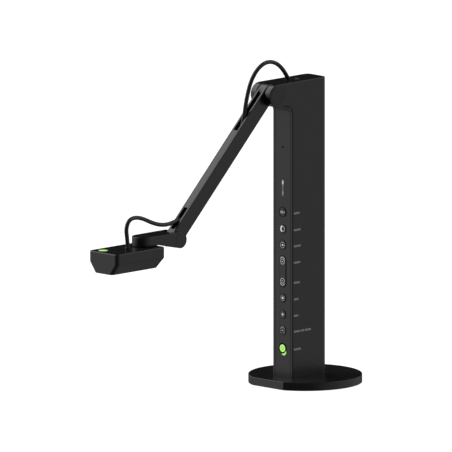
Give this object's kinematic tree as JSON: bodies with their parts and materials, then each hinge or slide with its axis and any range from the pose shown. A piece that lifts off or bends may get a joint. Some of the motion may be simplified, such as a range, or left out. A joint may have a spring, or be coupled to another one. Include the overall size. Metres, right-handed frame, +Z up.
{
  "type": "document camera",
  "caption": "Desktop document camera: camera head on a folding arm, on a flat column with a round weighted base, front buttons and a looped cable.",
  "frame": {"origin": "centre of the round base's underside, on the table", "axes": "+Z up, -Y to the front with the buttons and the arm, X across the column"},
  "size_m": [0.114, 0.3432, 0.3331],
  "materials": {
    "housing_plastic": "semi-gloss moulded ABS, fine texture",
    "button_plastic": "smooth black caps with printed signs",
    "green_plastic": "smooth bright green caps",
    "clear_plastic": "frosted clear plastic",
    "inner_plastic": "plain moulded plastic",
    "cable_jacket": "smooth black PVC jacket",
    "black_rubber": "matt black rubber",
    "zinc_steel": "zinc-plated steel",
    "cast_weight": "plain cast iron",
    "circuit_board": "green solder mask",
    "socket_metal": "nickel-plated shells",
    "anodised_black": "black anodised",
    "lens_glass": "coated glass"
  },
  "bodies": {
    "root": {"base_cover": "housing_plastic", "column_shell": "housing_plastic", "rear_cover": "housing_plastic", "front_panel": "housing_plastic", "hinge_cap_left": "housing_plastic", "hinge_cap_right": "housing_plastic", "status_light_pipe": "clear_plastic", "rocker_bracket": "inner_plastic", "cable_loop_shoulder": "cable_jacket", "cable_grommet": "black_rubber", "foot_pad": "black_rubber", "base_plate": "zinc_steel", "base_screws": "zinc_steel", "column_screws": "zinc_steel", "shoulder_pin": "zinc_steel", "shoulder_nut": "zinc_steel", "shoulder_washers": "zinc_steel", "base_weight": "cast_weight", "button_board": "circuit_board", "main_board": "circuit_board", "hdmi_socket": "socket_metal", "usb_socket": "socket_metal", "microphone": "socket_metal"},
    "arm": {"arm_channel": "housing_plastic", "arm_cover": "housing_plastic", "arm_cable": "cable_jacket", "cable_loop_elbow": "cable_jacket"},
    "link": {"link_body": "housing_plastic", "link_cover": "housing_plastic", "link_screws": "zinc_steel", "elbow_pin": "zinc_steel", "elbow_cap_left": "housing_plastic", "elbow_cap_right": "housing_plastic", "cable_loop_head": "cable_jacket"},
    "head": {"head_top_shell": "housing_plastic", "head_bottom_shell": "housing_plastic", "head_screws": "zinc_steel", "camera_board": "circuit_board", "lens_holder": "inner_plastic", "lens_barrel": "anodised_black", "lens_glass": "lens_glass", "lens_ring": "anodised_black", "light_board": "circuit_board", "light_window": "clear_plastic", "swivel_post": "inner_plastic", "swivel_nut": "zinc_steel", "cable_bushing": "black_rubber"},
    "source_button_body": {"source_button": "button_plastic"},
    "freeze_button_body": {"freeze_button": "button_plastic"},
    "rotate_button_body": {"rotate_button": "button_plastic"},
    "brighter_button_body": {"brighter_button": "button_plastic"},
    "dimmer_button_body": {"dimmer_button": "button_plastic"},
    "light_button_body": {"light_button": "button_plastic"},
    "power_button_body": {"power_button": "green_plastic"},
    "zoom_rocker_body": {"zoom_rocker": "button_plastic"},
    "focus_button_body": {"focus_button": "green_plastic"}
  },
  "joints": [
    {"name": "shoulder_pitch", "type": "hinge", "parent": "root", "child": "arm", "pos_m": [0, -0.0522, 0.298], "axis": [1, 0, 0], "range_deg": [-90, 45], "deforming": ["cable_loop_shoulder"]},
    {"name": "elbow_pitch", "type": "hinge", "parent": "arm", "child": "link", "pos_m": [0, -0.18683, 0.16817], "axis": [-1, 0, 0], "range_deg": [-90, 45], "deforming": ["cable_loop_elbow"]},
    {"name": "head_swivel", "type": "hinge", "parent": "link", "child": "head", "pos_m": [0, -0.2293, 0.1672], "axis": [0, 0, 1], "range_deg": [-90, 90], "deforming": ["cable_loop_head"]},
    {"name": "source_button_press", "type": "slide", "parent": "root", "child": "source_button_body", "axis": [0, 1, 0], "range_m": [0, 0.0007], "stiffness_N_per_m": 900, "springref_m": -0.0004},
    {"name": "freeze_button_press", "type": "slide", "parent": "root", "child": "freeze_button_body", "axis": [0, 1, 0], "range_m": [0, 0.0007], "stiffness_N_per_m": 900, "springref_m": -0.0004},
    {"name": "rotate_button_press", "type": "slide", "parent": "root", "child": "rotate_button_body", "axis": [0, 1, 0], "range_m": [0, 0.0007], "stiffness_N_per_m": 900, "springref_m": -0.0004},
    {"name": "brighter_button_press", "type": "slide", "parent": "root", "child": "brighter_button_body", "axis": [0, 1, 0], "range_m": [0, 0.0007], "stiffness_N_per_m": 900, "springref_m": -0.0004},
    {"name": "dimmer_button_press", "type": "slide", "parent": "root", "child": "dimmer_button_body", "axis": [0, 1, 0], "range_m": [0, 0.0007], "stiffness_N_per_m": 900, "springref_m": -0.0004},
    {"name": "light_button_press", "type": "slide", "parent": "root", "child": "light_button_body", "axis": [0, 1, 0], "range_m": [0, 0.0007], "stiffness_N_per_m": 900, "springref_m": -0.0004},
    {"name": "power_button_press", "type": "slide", "parent": "root", "child": "power_button_body", "axis": [0, 1, 0], "range_m": [0, 0.0007], "stiffness_N_per_m": 900, "springref_m": -0.0004},
    {"name": "zoom_rocker_tilt", "type": "hinge", "parent": "root", "child": "zoom_rocker_body", "pos_m": [0, -0.0264, 0.1158], "axis": [1, 0, 0], "range_deg": [-2.5, 2.5], "stiffness_Nm_per_rad": 0.2},
    {"name": "focus_button_press", "type": "slide", "parent": "head", "child": "focus_button_body", "axis": [0, 0, -1], "range_m": [0, 0.0007], "stiffness_N_per_m": 900, "springref_m": -0.0004}
  ]
}
